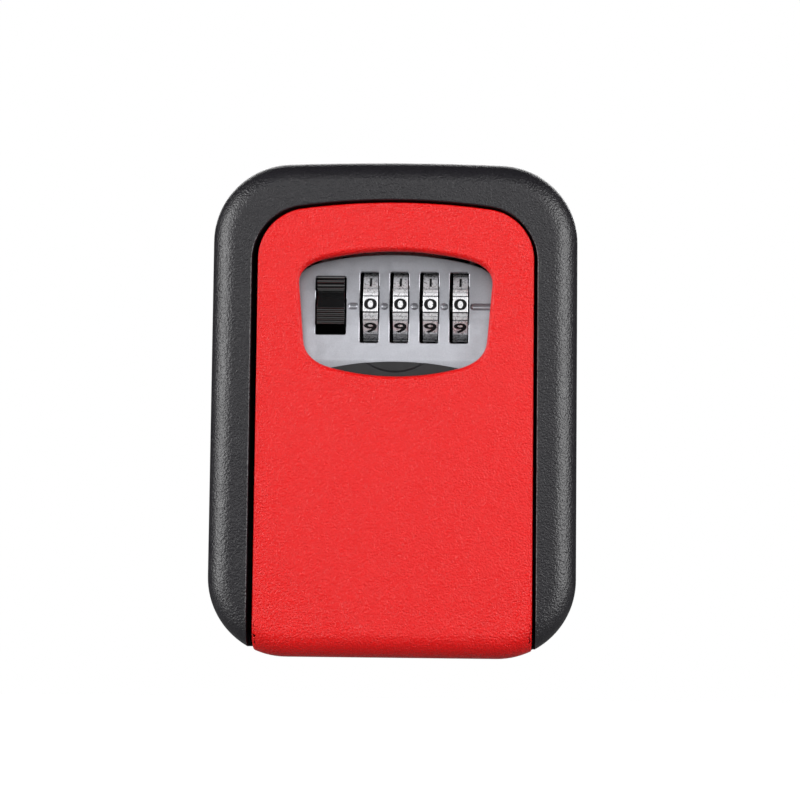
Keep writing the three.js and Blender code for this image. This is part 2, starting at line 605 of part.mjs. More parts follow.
function resetSlide() {
  const { z, flange, neck, knob, grip } = RESET;
  const knobRear = COVER.rear + 1.8;
  const inside = block(-flange, flange, COVER.front - 1.5, COVER.front - GAP, z - 2.1, z + 2.1);
  const stem = block(-neck, neck, COVER.front - 1, COVER.rear + 0.5, z - 1.1, z + 1.1);
  const thumb = block(-knob, knob, COVER.rear + GAP, knobRear, z - 2.3, z + 2.3);
  const grips = [-grip, 0, grip].map(
    (x) => block(x - 0.3, x + 0.3, knobRear - 0.4, knobRear + 1, z - 3, z + 3));
  return cut(join([inside, stem, thumb]), grips);
}

// ---- Assembly ----
const lockBox = new THREE.Group();

function place(name, body, finish) {
  const mesh = body.getMesh();
  const geometry = new THREE.BufferGeometry();
  geometry.setAttribute("position", new THREE.BufferAttribute(mesh.vertProperties, 3));
  geometry.setIndex(new THREE.BufferAttribute(mesh.triVerts, 1));
  geometry.computeVertexNormals();
  const piece = new THREE.Mesh(geometry, finish);
  piece.name = name;
  lockBox.add(piece);
}

place("case_body", caseBody(), BLACK_COAT);
place("strike_plate", strikePlate(), STEEL);
place("strike_screw_left", strikeScrew(-1), STEEL);
place("strike_screw_right", strikeScrew(1), STEEL);
place("hinge_pin", hingePin(), STEEL);
place("front_cover", frontCover(), RED_PLASTIC);
place("door_frame", doorFrame(), BLACK_PLASTIC);
place("weather_shutter", weatherShutter(), BLACK_PLASTIC);
place("lock_face", lockFace(), GREY_PLASTIC);
for (let i = 0; i < 4; i += 1) {
  place(`dial_${i + 1}`, dialWheel(i), CHROME);
  place(`dial_sleeve_${i + 1}`, dialSleeve(i), STEEL);
}
place("dial_shaft", dialShaft(), STEEL);
place("shaft_clip_left", shaftClip(SHAFT.left + SHAFT.clipInset), STEEL);
place("shaft_clip_right", shaftClip(SHAFT.right - SHAFT.clipInset), STEEL);
place("detent_spring", detentSpring(), STEEL);
place("latch_plate", latchPlate(), STEEL);
place("open_lever", openLever(), GLOSS_BLACK);
place("latch_spring_left", latchSpring(-1), STEEL);
place("latch_spring_right", latchSpring(1), STEEL);
place("lock_cover", lockCover(), BLACK_PLASTIC);
place("reset_slide", resetSlide(), BLACK_PLASTIC);
BACK_SCREWS.forEach(([x, z], i) => {
  const { head, shank, top, tip } = BACK_SCREW;
  const screw = screwY(x + DOOR_X, z, head, shank, top, COVER.rear + GAP, tip);
  place(`lock_cover_screw_${i + 1}`, screw, STEEL);
});
COVER_SCREWS.forEach(([x, z], i) => {
  const { head, shank, top, tip } = COVER_SCREW;
  const screw = screwY(x + DOOR_X, z, head, shank, top, FRAME.rear + GAP, tip);
  place(`front_cover_screw_${i + 1}`, screw, STEEL);
});

export default lockBox;
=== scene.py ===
import math

import bmesh
import bpy
from mathutils import Matrix, Vector


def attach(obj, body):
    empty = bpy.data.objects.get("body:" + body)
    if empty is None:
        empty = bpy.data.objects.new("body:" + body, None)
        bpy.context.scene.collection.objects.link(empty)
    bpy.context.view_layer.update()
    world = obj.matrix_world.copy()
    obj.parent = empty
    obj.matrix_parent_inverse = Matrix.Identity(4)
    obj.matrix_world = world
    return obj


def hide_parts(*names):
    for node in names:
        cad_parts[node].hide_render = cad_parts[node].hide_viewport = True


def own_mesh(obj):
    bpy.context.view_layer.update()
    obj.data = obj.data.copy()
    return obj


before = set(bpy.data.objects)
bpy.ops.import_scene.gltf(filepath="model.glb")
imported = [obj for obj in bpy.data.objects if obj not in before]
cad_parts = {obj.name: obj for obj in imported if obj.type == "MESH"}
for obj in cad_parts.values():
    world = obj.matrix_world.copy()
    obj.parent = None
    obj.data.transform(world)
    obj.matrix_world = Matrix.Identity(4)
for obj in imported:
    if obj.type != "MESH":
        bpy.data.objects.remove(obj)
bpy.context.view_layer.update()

MM = 0.001

# ---- Driving dimensions: the part's own, then finer ones of the surfaces that are seen ----
CASE = {"half": 44.2, "top": 60, "bottom": -60, "depth": 40, "corner": 19, "crown": 660, "edge": 6.1}
OPENING = {"half": 34.4, "top": 50, "corner": 13.4}
ARCH = 165
BACK_WALL = 3
OUTER_WALL = 3
INNER_WALL = 2.5
CHANNEL_DEPTH = 33
SILL_TOP = -35  # above the sill's highest point
OPENING_LIP = 0.35
REAR_EDGE = 0.5
MOUNT_HOLE_RADIUS = 2.5
STRIKE_PAD = (-17, 17, -34, -16, 48, 58)  # solid left in the rim around the strike
STRIKE_RECESS = (-13.3, 13.3, -31.3, -18.7, 47, 51.9)
BOLT_POCKET = (-8.3, 8.3, -27.8, -22.2, 50, 54)
HINGE = {"y": -22, "z": -55.5, "bore": 1.8, "lug": 3.6}
LUG = {"near": 25, "far": 30, "top": -52.5, "rear": -8}
SILL_FRONT = -16.8
MOUNT_HOLES = [(x, z) for x in (-22, 22) for z in (-30, 38)]
DOOR_X = 0.3
DOOR = {"half": 33.3, "top": 49.4, "corner": 12.3, "front": -39.6, "wall": 2.2, "skirt": 1.8, "rear": -30}
EDGE_WALL = 2  # wall of the cover where its front edge is rounded
WINDOW_ROLL = {"across": 1.25, "deep": 1.5}
COVER_SCREWS = [(x, z) for z in (2, -44) for x in (-28.6, 29.2)]
COVER_BOSS = {"radius": 1.7, "rear": -35.2}
SHUTTER = {"half": 26.2, "bottom": -23, "top": 11.1, "front": -37.1, "rear": -35.7}
FACE = {"half": 26, "bottom": 7, "top": 41, "front": -35.2, "rear": -32.2, "corner": 4}
DISH = {"radius": 70, "y": -33.8}
DIAL = {"y": -25.8, "z": 25.25, "bore": 3.7, "width": 3.6, "pitch": 7.26, "first": -6.15, "digits": 10}
DIAL_SIDE = 0.3  # wheels stand this far right of their slots
PAD = {"half_angle": 11.4, "depth": 9.42}  # flat digit pads, in degrees and from the axle
RIB = {"start": 13.1, "groove": 17.5, "radius": 9.5, "groove_radius": 9.2}
PAD_GAP = 8.85  # radius between a pad and a rib
PAINTED_SHADE_RADIUS = 9.1  # wheel faces nearer the axle than this take black plastic: painted shade in the valleys between pads and ribs
DIGIT = {"size": 3.9, "bolder": 0.085, "thick": 0.04, "width": 3.1, "height": 2.75}
SLOT = {"width": 4.6, "height": 17.4, "z": 24.6}
LEVER = {"x": -15.5, "width": 6.65, "bottom": 20.2, "top": 31.8, "front": -35.4, "rear": -32.1}
LEVER_SLOT = {"width": 7.4, "bottom": 17.9, "top": 32.1}
GROOVE = {"z": 24.9, "radius": 0.92, "lift": 0.38, "end_gap": 0.25}
SHUTTER_SHOULDER = 6.4
SHUTTER_SCOOP = {"radius": 12.4, "bottom": 8.35, "depth": 0.6}
RIDGES = {"bottom": 28.85, "pitch": 1.9, "height": 0.32}
RAMP = {"bottom": 24.3, "turn": 28.3, "depth": 1.9}
RIBS = {"pitch": 0.95, "height": 0.17}
SPRING = {"x": 21.6, "y": -20, "radius": 1.35, "wire": 0.3, "bottom": 30, "top": 37.2, "turns": 5}
EARS = [(-10.6, -9.4), (19.9, 21.1)]  # the lock face's ears that carry the dial shaft
EAR = {"rear": -22.2, "bottom": 21.4, "top": 29.2}
SHAFT_BORE = 1.8
LEDGE = {"half": 1.8, "rear": -18.2, "bottom": 28.1, "top": SPRING["bottom"] - 0.3}
ARC_STEPS = 24
EDGE_STEPS = 14


# ---- Mesh helpers, in millimetres ----
def new_object(name, bm):
    bmesh.ops.recalc_face_normals(bm, faces=bm.faces)
    mesh = bpy.data.meshes.new(name)
    bm.to_mesh(mesh)
    bm.free()
    obj = bpy.data.objects.new(name, mesh)
    bpy.context.scene.collection.objects.link(obj)
    return obj


def loft(name, rings, closed=False):
    """A skin over rings of points; open ends are capped, a closed loft joins last to first."""
    bm = bmesh.new()
    loops = [[bm.verts.new(point) for point in ring] for ring in rings]
    pairs = list(zip(loops, loops[1:] + loops[:1]))
    if not closed:
        pairs = pairs[:-1]
        bm.faces.new(loops[0])
        bm.faces.new(loops[-1])
    for near, far in pairs:
        for i in range(len(near)):
            j = (i + 1) % len(near)
            bm.faces.new((near[i], near[j], far[j], far[i]))
    return new_object(name, bm)


def at_depth(outline, y):
    return [(x, y, z) for x, z in outline]


def slab(outline, back, front, name="tool"):
    return loft(name, [at_depth(outline, back), at_depth(outline, front)])


def soft_slab(outline_at, back, front, radius, name="tool", steps=EDGE_STEPS, rear_edge=0):
    """A slab with its front edge rounded; outline_at(grow) gives the outline grown by grow."""
    rings = []
    if rear_edge:
        rings.append(at_depth(outline_at(-rear_edge), back))
    rings.append(at_depth(outline_at(0), back - rear_edge))
    for i in range(steps + 1):
        angle = math.pi / 2 * i / steps
        inset = radius * (1 - math.cos(angle))
        rings.append(at_depth(outline_at(-inset), front + radius * (1 - math.sin(angle))))
    return loft(name, rings)


def block(x0, x1, y0, y1, z0, z1, name="tool"):
    outline = [(x0, z0), (x1, z0), (x1, z1), (x0, z1)]
    return slab(outline, y1, y0, name)


def circle(radius, steps):
    turn = 2 * math.pi / steps
    return [(radius * math.cos(i * turn), radius * math.sin(i * turn)) for i in range(steps)]


def rod(axis, radius, low, high, a, b, steps=48, name="tool"):
    """A rod along an axis through (a, b), the other two coordinates in X, Y, Z order."""
    order = {"X": lambda t, u, v: (t, a + u, b + v), "Y": lambda t, u, v: (a + u, t, b + v),
             "Z": lambda t, u, v: (a + u, b + v, t)}[axis]
    return loft(name, [[order(t, u, v) for u, v in circle(radius, steps)] for t in (low, high)])


def settle(obj):
    """Applies the object's modifiers."""
    graph = bpy.context.evaluated_depsgraph_get()
    mesh = bpy.data.meshes.new_from_object(obj.evaluated_get(graph))
    old = obj.data
    obj.modifiers.clear()
    obj.data = mesh
    bpy.data.meshes.remove(old)


def combine(obj, operation, tools):
    for tool in tools:
        modifier = obj.modifiers.new("combine", "BOOLEAN")
        modifier.operation = operation
        modifier.solver = "EXACT"
        modifier.object = tool
    settle(obj)
    for tool in tools:
        bpy.data.objects.remove(tool)
    return obj


def cut(obj, *tools):
    return combine(obj, "DIFFERENCE", tools)


def join(obj, *tools):
    return combine(obj, "UNION", tools)


def keep(obj, *tools):
    return combine(obj, "INTERSECT", tools)


def soften(obj, width, steps=3, angle=40):
    """Rounds the sharp edges."""
    modifier = obj.modifiers.new("edges", "BEVEL")
    modifier.width = width
    modifier.segments = steps
    modifier.limit_method = "ANGLE"
    modifier.angle_limit = math.radians(angle)
    modifier.use_clamp_overlap = False
    modifier.miter_outer = "MITER_ARC"
    settle(obj)
    return obj


def finished(obj, name, body, material, replaces=(), smooth=35):
    """Scales a piece to metres, smooths it and puts it on its body."""
    obj.name = name
    obj.data.name = name
    obj.data.transform(Matrix.Scale(MM, 4))
    obj.data.shade_smooth()
    obj.data.set_sharp_from_angle(angle=math.radians(smooth))
    even = obj.modifiers.new("even_normals", "WEIGHTED_NORMAL")
    even.keep_sharp = True
    obj.data.materials.clear()
    obj.data.materials.append(material)
    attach(obj, body)
    if replaces:
        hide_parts(*replaces)
    return obj


# ---- Outlines ----
def arc(cx, cz, radius, start, end, steps=ARC_STEPS):
    return [(cx + radius * math.cos(start + (end - start) * i / steps),
             cz + radius * math.sin(start + (end - start) * i / steps)) for i in range(steps + 1)]


def arched(centre, half, top, bottom, corner, crown, bottom_corner=0):
    """Straight sides, an arched top, corners tangent to both, and round or square bottom corners."""
    corner_x = half - corner
    crown_z = top - crown
    corner_z = crown_z + math.sqrt((crown - corner) ** 2 - corner_x ** 2)
    tilt = math.atan2(corner_x, corner_z - crown_z)
    quarter = math.pi / 2
    points = arc(centre + corner_x, corner_z, corner, 0, quarter - tilt)
    points += arc(centre, crown_z, crown, quarter - tilt, quarter + tilt)[1:-1]
    points += arc(centre - corner_x, corner_z, corner, quarter + tilt, math.pi)
    if bottom_corner:
        x, z = half - bottom_corner, bottom + bottom_corner
        points += arc(centre - x, z, bottom_corner, math.pi, 3 * quarter)
        points += arc(centre + x, z, bottom_corner, 3 * quarter, 4 * quarter)
    else:
        points += [(centre - half, bottom), (centre + half, bottom)]
    return points


def case_outline(grow=0):
    corner = CASE["corner"] + grow
    return arched(0, CASE["half"] + grow, CASE["top"] + grow, CASE["bottom"] - grow, corner,
                  CASE["crown"] + grow, corner)


def opening_outline(grow=0):
    return arched(0, OPENING["half"] + grow, OPENING["top"] + grow, 2 * CASE["bottom"],
                  OPENING["corner"] + grow, ARCH + grow)


def door_outline(grow=0):
    return arched(DOOR_X, DOOR["half"] + grow, DOOR["top"] + grow, 2 * CASE["bottom"],
                  DOOR["corner"] + grow, ARCH + grow)


def rounded_box(half, bottom, top, corner, centre=DOOR_X, steps=8):
    x, quarter = half - corner, math.pi / 2
    points = arc(centre + x, top - corner, corner, 0, quarter, steps)
    points += arc(centre - x, top - corner, corner, quarter, 2 * quarter, steps)
    points += arc(centre - x, bottom + corner, corner, 2 * quarter, 3 * quarter, steps)
    points += arc(centre + x, bottom + corner, corner, 3 * quarter, 4 * quarter, steps)
    return points


def curve_to(points, control, end, steps=12):
    """Adds a quadratic curve from the last point."""
    x0, z0 = points[-1]
    for i in range(1, steps + 1):
        t = i / steps
        a, b, c = (1 - t) ** 2, 2 * t * (1 - t), t * t
        points.append((a * x0 + b * control[0] + c * end[0], a * z0 + b * control[1] + c * end[1]))


def window_outline():
    x = DOOR_X
    points = [(x + 22.14, 16)]
    points.append((x + 23.3, 29.5))
    curve_to(points, (x + 23.67, 34.17), (x + 17, 35.7))
    curve_to(points, (x, 39.6), (x - 17, 35.7), 24)
    curve_to(points, (x - 23.67, 34.17), (x - 23.3, 29.5))
    points.append((x - 22.14, 16))
    curve_to(points, (x - 21.74, 10.9), (x - 15, 9.2))
    curve_to(points, (x, 5.4), (x + 15, 9.2), 24)
    curve_to(points, (x + 21.74, 10.9), (x + 22.14, 16))
    return points[:-1]


def grown(outline, distance, side=1.0):
    """The anticlockwise outline moved out by distance along its normals, by side times that in X."""
    moved = []
    count = len(outline)
    for i, (x, z) in enumerate(outline):
        x0, z0 = outline[i - 1]
        x1, z1 = outline[(i + 1) % count]
        length = math.hypot(x1 - x0, z1 - z0)
        moved.append((x + side * distance * (z1 - z0) / length, z - distance * (x1 - x0) / length))
    return moved


# ---- Materials ----
def new_material(name, color, roughness, metallic=0.0):
    material = bpy.data.materials.new(name)
    material.use_nodes = True
    shader = material.node_tree.nodes["Principled BSDF"]
    shader.inputs["Base Color"].default_value = (*color, 1)
    shader.inputs["Roughness"].default_value = roughness
    shader.inputs["Metallic"].default_value = metallic
    return material, material.node_tree, shader


def add_node(tree, kind, settings=(), inputs=()):
    node = tree.nodes.new(kind)
    for key, value in dict(settings).items():
        setattr(node, key, value)
    for key, value in dict(inputs).items():
        node.inputs[key].default_value = value
    return node


def noise(tree, scale, detail=2, roughness=0.5):
    place = add_node(tree, "ShaderNodeTexCoord")
    texture = add_node(tree, "ShaderNodeTexNoise", (),
                       {"Scale": scale, "Detail": detail, "Roughness": roughness})
    tree.links.new(place.outputs["Object"], texture.inputs["Vector"])
    return texture.outputs["Fac"]


def cells(tree, scale, smoothness=0.6):
    place = add_node(tree, "ShaderNodeTexCoord")
    texture = add_node(tree, "ShaderNodeTexVoronoi", {"feature": "SMOOTH_F1"},
                       {"Scale": scale, "Smoothness": smoothness})
    tree.links.new(place.outputs["Object"], texture.inputs["Vector"])
    return texture.outputs["Distance"]


def ramp(tree, source, low, high, position=(0.3, 0.7)):
    node = add_node(tree, "ShaderNodeMapRange", (),
                    {"From Min": position[0], "From Max": position[1], "To Min": low, "To Max": high})
    tree.links.new(source, node.inputs["Value"])
    return node.outputs["Result"]


def tint(tree, source, dark, light, position=(0.3, 0.7)):
    node = add_node(tree, "ShaderNodeValToRGB")
    first, last = node.color_ramp.elements
    first.position, last.position = position
    first.color, last.color = (*dark, 1), (*light, 1)
    tree.links.new(source, node.inputs["Fac"])
    return node.outputs["Color"]


def bump(tree, shader, layers):
    """Layers of (height source, strength, distance in metres), each on top of the last."""
    normal = None
    for source, strength, distance in layers:
        node = add_node(tree, "ShaderNodeBump", (), {"Strength": strength, "Distance": distance})
        tree.links.new(source, node.inputs["Height"])
        if normal:
            tree.links.new(normal, node.inputs["Normal"])
        normal = node.outputs["Normal"]
    tree.links.new(normal, shader.inputs["Normal"])


def coated_black():
    material, tree, shader = new_material("black_powder_coat", (0.009, 0.008, 0.01), 0.38)
    speckle = noise(tree, 2300, 2, 0.6)
    tree.links.new(tint(tree, speckle, (0.006, 0.0055, 0.007), (0.013, 0.012, 0.015)),
                   shader.inputs["Base Color"])
    tree.links.new(ramp(tree, noise(tree, 260, 4), 0.31, 0.37), shader.inputs["Roughness"])
    bump(tree, shader, [(cells(tree, 1900), 0.6, 0.00014), (speckle, 0.9, 0.00016)])
    return material


def red_plastic():
    material, tree, shader = new_material("red_grained_plastic", (0.6, 0.001, 0.001), 0.36)
    shader.inputs["Specular IOR Level"].default_value = 0.36
    mottle = noise(tree, 2400, 3, 0.65)
    tree.links.new(tint(tree, mottle, (0.57, 0.0005, 0.0005), (0.64, 0.0015, 0.0015)),
                   shader.inputs["Base Color"])
    tree.links.new(ramp(tree, noise(tree, 700, 3), 0.32, 0.42), shader.inputs["Roughness"])
    bump(tree, shader, [(cells(tree, 2100, 0.4), 0.9, 0.0002), (mottle, 0.9, 0.00022)])
    return material


def black_plastic():
    material, tree, shader = new_material("black_satin_plastic", (0.006, 0.0055, 0.007), 0.36)
    grain = noise(tree, 2600, 3, 0.6)
    tree.links.new(tint(tree, noise(tree, 400, 4), (0.0045, 0.004, 0.005), (0.009, 0.0085, 0.01)),
                   shader.inputs["Base Color"])
    tree.links.new(ramp(tree, noise(tree, 300, 5), 0.36, 0.48), shader.inputs["Roughness"])
    bump(tree, shader, [(grain, 0.35, 0.00005)])
    return material


def grey_plastic():
    material, tree, shader = new_material("silver_grey_plastic", (0.37, 0.375, 0.41), 0.36, 0.75)
    fleck = noise(tree, 3200, 3, 0.7)
    tree.links.new(tint(tree, fleck, (0.35, 0.355, 0.385), (0.41, 0.415, 0.45)),
                   shader.inputs["Base Color"])
    tree.links.new(ramp(tree, noise(tree, 500, 4), 0.3, 0.42), shader.inputs["Roughness"])
    bump(tree, shader, [(fleck, 0.2, 0.00004)])
    return material


def gloss_black():
    material, tree, shader = new_material("black_gloss_plastic", (0.004, 0.004, 0.0045), 0.1)
    shader.inputs["IOR"].default_value = 2.0
    wear = noise(tree, 900, 5, 0.6)
    tree.links.new(tint(tree, wear, (0.003, 0.003, 0.0035), (0.006, 0.006, 0.0065)),
                   shader.inputs["Base Color"])
    tree.links.new(ramp(tree, wear, 0.05, 0.12), shader.inputs["Roughness"])
    bump(tree, shader, [(wear, 0.12, 0.00004)])
    return material


def metal(name, color, rough, grain=900, metallic=1.0):
    material, tree, shader = new_material(name, color, rough, metallic)
    cloud = noise(tree, grain, 5, 0.65)
    darker = tuple(0.86 * c for c in color)
    tree.links.new(tint(tree, cloud, darker, color), shader.inputs["Base Color"])
    tree.links.new(ramp(tree, cloud, 0.75 * rough, 1.35 * rough), shader.inputs["Roughness"])
    bump(tree, shader, [(cloud, 0.15, 0.00004)])
    return material


def ink():
    material, tree, shader = new_material("digit_ink", (0.005, 0.005, 0.0055), 0.6)
    shader.inputs["Specular IOR Level"].default_value = 0.15
    patch = noise(tree, 3500, 3, 0.6)
    tree.links.new(tint(tree, patch, (0.003, 0.003, 0.0035), (0.008, 0.008, 0.0085)),
                   shader.inputs["Base Color"])
    bump(tree, shader, [(patch, 0.3, 0.00003)])
    return material


COAT = coated_black()
RED = red_plastic()
BLACK = black_plastic()
GREY = grey_plastic()
GLOSS = gloss_black()
CHROME = metal("dial_chrome", (0.78, 0.78, 0.8), 0.28, 1400, 0.6)
# Steel darkened to stand in for the shade deep between the wheels: painted shade on the dial shaft and
# sleeves.
SHADE_DARKENED_STEEL = metal("steel_darkened_as_shade", (0.1, 0.1, 0.105), 0.4)
ZINC = metal("zinc_plated_steel", (0.62, 0.62, 0.64), 0.32)
SPRING_STEEL = metal("spring_steel", (0.5, 0.5, 0.52), 0.25)
INK = ink()


# ---- Camera: at the photograph's angle, from just below and right of the middle ----
def make_camera():
    centre = Vector((0, -20, 0))
    distance = 600
    below, right, roll = math.radians(5.389), math.radians(1.753), math.radians(0.659)
    back = Vector((math.sin(right) * math.cos(below), -math.cos(right) * math.cos(below),
                   -math.sin(below)))
    camera = bpy.data.cameras.new("camera")
    camera.sensor_width = 36
    camera.lens = 109.14
    camera.shift_x = 0.00596
    camera.shift_y = 0.01727
    holder = bpy.data.objects.new("camera", camera)
    bpy.context.scene.collection.objects.link(holder)
    turn = (-back).to_track_quat("-Z", "Y").to_matrix().to_4x4() @ Matrix.Rotation(roll, 4, "Z")
    holder.matrix_world = Matrix.Translation((centre + distance * back) * MM) @ turn
    camera.clip_start = 0.01
    bpy.context.scene.camera = holder


# ---- Case ----
def opening_tool():
    """The cutter of the case's opening, flared at the front so that the edge is rounded."""
    front, lip, steps = -CASE["depth"], OPENING_LIP, 6
    rings = [at_depth(opening_outline(), -BACK_WALL)]
    for i in range(steps + 1):
        angle = math.pi / 2 * i / steps
        flare = opening_outline(lip * (1 - math.cos(angle)))
        rings.append(at_depth(flare, front + lip * (1 - math.sin(angle))))
    rings.append(at_depth(opening_outline(lip), front - 1))
    return loft("tool", rings)


def make_case():
    shell = soft_slab(case_outline, 0, -CASE["depth"], CASE["edge"], "case", rear_edge=REAR_EDGE)
    sill_space = block(-OPENING["half"], OPENING["half"], SILL_FRONT, 1, CASE["bottom"] - 10, SILL_TOP)
    sill_space = keep(sill_space, slab(case_outline(5), 3, -30))
    sill_space = cut(sill_space, slab(case_outline(-OUTER_WALL), 3, -30))
    cavity = cut(opening_tool(), sill_space)
    channel = cut(slab(case_outline(-OUTER_WALL), 5, -CHANNEL_DEPTH),
                  slab(opening_outline(INNER_WALL), 6, -CHANNEL_DEPTH - 1))
    channel = cut(channel, block(*STRIKE_PAD))
    holes = [rod("Y", MOUNT_HOLE_RADIUS, -BACK_WALL - 1, 1, x, z) for x, z in MOUNT_HOLES]
    shell = cut(shell, cavity, channel, block(*STRIKE_RECESS), block(*BOLT_POCKET), *holes)
    for side in (-1, 1):
        x0, x1 = sorted((side * LUG["near"], side * LUG["far"]))
        barrel = rod("X", HINGE["lug"], x0, x1, HINGE["y"], HINGE["z"], 48)
        arm = block(x0, x1, HINGE["y"], LUG["rear"], HINGE["z"] - HINGE["lug"], LUG["top"])
        shell = join(shell, join(barrel, arm))
    shell = cut(shell, rod("X", HINGE["bore"], -35, 35, HINGE["y"], HINGE["z"], 32))
    return finished(shell, "case_shell", "case", COAT, ["case_body"])


# ---- Red front cover ----
def window_tool():
    """The window's cutter: its edge rolls from the front surface into a straight wall."""
    outline = window_outline()
    front = DOOR["front"]
    across, deep, steps = WINDOW_ROLL["across"], WINDOW_ROLL["deep"], 12
    wall = [(front - 1, across + 0.6)]
    for i in range(steps + 1):
        angle = math.pi / 2 * i / steps
        wall.append((front + deep * (1 - math.cos(angle)), across * (1 - math.sin(angle))))
    wall.append((-30, 0))
    return loft("tool", [at_depth(grown(outline, grow, 0.7), y) for y, grow in wall])


def make_cover():
    front, wall = DOOR["front"], DOOR["wall"]
    cover = soft_slab(case_outline, DOOR["rear"], front, CASE["edge"], "cover")
    cover = keep(cover, slab(door_outline(), DOOR["rear"] + 2, front - 2))
    pocket = soft_slab(lambda grow: case_outline(grow - EDGE_WALL), DOOR["rear"] + 2, front + wall,
                       CASE["edge"] - EDGE_WALL)
    pocket = keep(pocket, slab(door_outline(-DOOR["skirt"]), DOOR["rear"] + 4, front))
    cover = cut(cover, pocket)
    bosses = [rod("Y", COVER_BOSS["radius"], COVER_BOSS["rear"], front + 1, x, z, 24)
              for x, z in COVER_SCREWS]
    cover = join(cover, *bosses)
    cover = cut(cover, window_tool())
    soften(cover, 0.5, 4, 50)
    return finished(cover, "red_cover", "door", RED, ["front_cover"])


# ---- Weather shutter ----
def make_shutter():
    x, half = DOOR_X, SHUTTER["half"]
    outline = [(x - half, SHUTTER["bottom"]), (x + half, SHUTTER["bottom"]), (x + half, SHUTTER_SHOULDER)]
    curve_to(outline, (x, 2 * SHUTTER["top"] - SHUTTER_SHOULDER), (x - half, SHUTTER_SHOULDER), 40)
    shutter = slab(outline, SHUTTER["rear"], SHUTTER["front"])
    radius = SHUTTER_SCOOP["radius"]
    scoop_z = SHUTTER_SCOOP["bottom"] + radius
    scoop = loft("tool", [[(x + r * u, y, scoop_z + r * v) for u, v in circle(1, 96)]
                          for y, r in ((SHUTTER["front"] + SHUTTER_SCOOP["depth"], radius - 0.5),
                                       (SHUTTER["front"] - 0.4, radius + 0.3))])
    shutter = cut(shutter, scoop)
    soften(shutter, 0.15, 2)
    return finished(shutter, "shutter", "shutter", BLACK, ["weather_shutter"])


# ---- Lock face ----
def slot_x(i):
    return DIAL["first"] + i * DIAL["pitch"]


def wheel_x(i):
    return slot_x(i) + DIAL_SIDE


def make_face():
    face = slab(rounded_box(FACE["half"], FACE["bottom"], FACE["top"], FACE["corner"]),
                FACE["rear"], FACE["front"], "face")
    dish = rod("X", DISH["radius"], -40, 40, DISH["y"] - DISH["radius"], DIAL["z"], 200)
    half_w, half_h = SLOT["width"] / 2, SLOT["height"] / 2
    slots = [slab(rounded_box(half_w, SLOT["z"] - half_h, SLOT["z"] + half_h, 0.5, slot_x(i), 4), -30, -38)
             for i in range(4)]
    slots.append(slab(rounded_box(LEVER_SLOT["width"] / 2, LEVER_SLOT["bottom"], LEVER_SLOT["top"],
                                  0.4, LEVER["x"], 4), -30, -38))
    top_edge = [(-40, 50), (-40, 31.5), (-23.5, 31.5)]
    curve_to(top_edge, (-22.9, 34.3), (-17, 35.7))
    curve_to(top_edge, (0, 39.2), (17.4, 35.5), 30)
    curve_to(top_edge, (23.4, 34.1), (24, 31.5))
    top_edge += [(40, 31.5), (40, 50)]
    face = cut(face, dish, slab(top_edge, -30, -38), *slots)
    root = FACE["rear"] - 0.5
    posts = [block(a, b, root, EAR["rear"], EAR["bottom"], EAR["top"]) for a, b in EARS]
    posts += [block(x - LEDGE["half"], x + LEDGE["half"], root, LEDGE["rear"], LEDGE["bottom"],
                    LEDGE["top"]) for x in (-SPRING["x"], SPRING["x"])]
    face = join(face, *posts)
    face = cut(face, rod("X", SHAFT_BORE, -12, 23, DIAL["y"], DIAL["z"]))
    edges = [LEVER["x"] + LEVER_SLOT["width"] / 2]
    for i in range(4):
        edges += [slot_x(i) - half_w, slot_x(i) + half_w]
    edges.append(FACE["half"] + 3)
    grooves = [groove_tool(start + GROOVE["end_gap"], end - GROOVE["end_gap"])
               for start, end in zip(edges[::2], edges[1::2])]
    soften(face, 0.22, 3)
    face = cut(face, *grooves)
    return finished(face, "face", "door", GREY, ["lock_face"])


def groove_tool(start, end):
    """A capsule lying along X, sunk into the dish."""
    radius = GROOVE["radius"]
    y = DISH["y"] - GROOVE["lift"]
    steps = 8
    caps = [(start + radius * (1 - math.cos(a)), radius * math.sin(a))
            for a in (math.pi / 2 * i / steps for i in range(1, steps + 1))]
    far = [(start + end - x, r) for x, r in reversed(caps)]
    return loft("tool", [[(x, y + r * u, GROOVE["z"] + r * v) for u, v in circle(1, 40)]
                         for x, r in caps + far])


# ---- Dial wheels ----
def rim_radius(degrees):
    """Radius of a wheel's rim: flat digit pads, and between each two a rib with a fine groove."""
    step = 360 / DIAL["digits"]
    offset = abs((degrees + step / 2) % step - step / 2)
    if offset <= PAD["half_angle"]:
        return PAD["depth"] / math.cos(math.radians(offset))
    if offset < RIB["start"]:
        return PAD_GAP
    if offset > RIB["groove"]:
        return RIB["groove_radius"]
    return RIB["radius"]


def make_wheel(i):
    count = DIAL["digits"] * 60
    x = wheel_x(i)
    half = DIAL["width"] / 2
    angles = [math.pi - 2 * math.pi * k / count for k in range(count)]
    rims = [(-half, -0.1), (-half + 0.03, -0.03), (-half + 0.1, 0),
            (half - 0.1, 0), (half - 0.03, -0.03), (half, -0.1)]
    rings = [[(x + dx, DIAL["y"] + (rim_radius(math.degrees(a)) + dr) * math.cos(a),
               DIAL["z"] + (rim_radius(math.degrees(a)) + dr) * math.sin(a)) for a in angles]
             for dx, dr in rims]
    for dx in (half, -half):
        rings.append([(x + dx, DIAL["y"] + DIAL["bore"] * math.cos(a),
                       DIAL["z"] + DIAL["bore"] * math.sin(a)) for a in angles])
    wheel = loft("wheel", rings, closed=True)
    name = f"dial_{i + 1}"
    finished(wheel, f"wheel_{i + 1}", name, CHROME, [name], 20)
    # The valleys between pads and ribs, the wheel's sides and its bore take black plastic; in the valleys
    # this black is painted shade.
    wheel.data.materials.append(BLACK)
    for side in wheel.data.polygons:
        depth = math.hypot(side.center.y - DIAL["y"] * MM, side.center.z - DIAL["z"] * MM)
        if abs(side.normal.x) > 0.9 or depth < PAINTED_SHADE_RADIUS * MM:
            side.material_index = 1
    for digit in range(DIAL["digits"]):
        make_digit(i, digit)


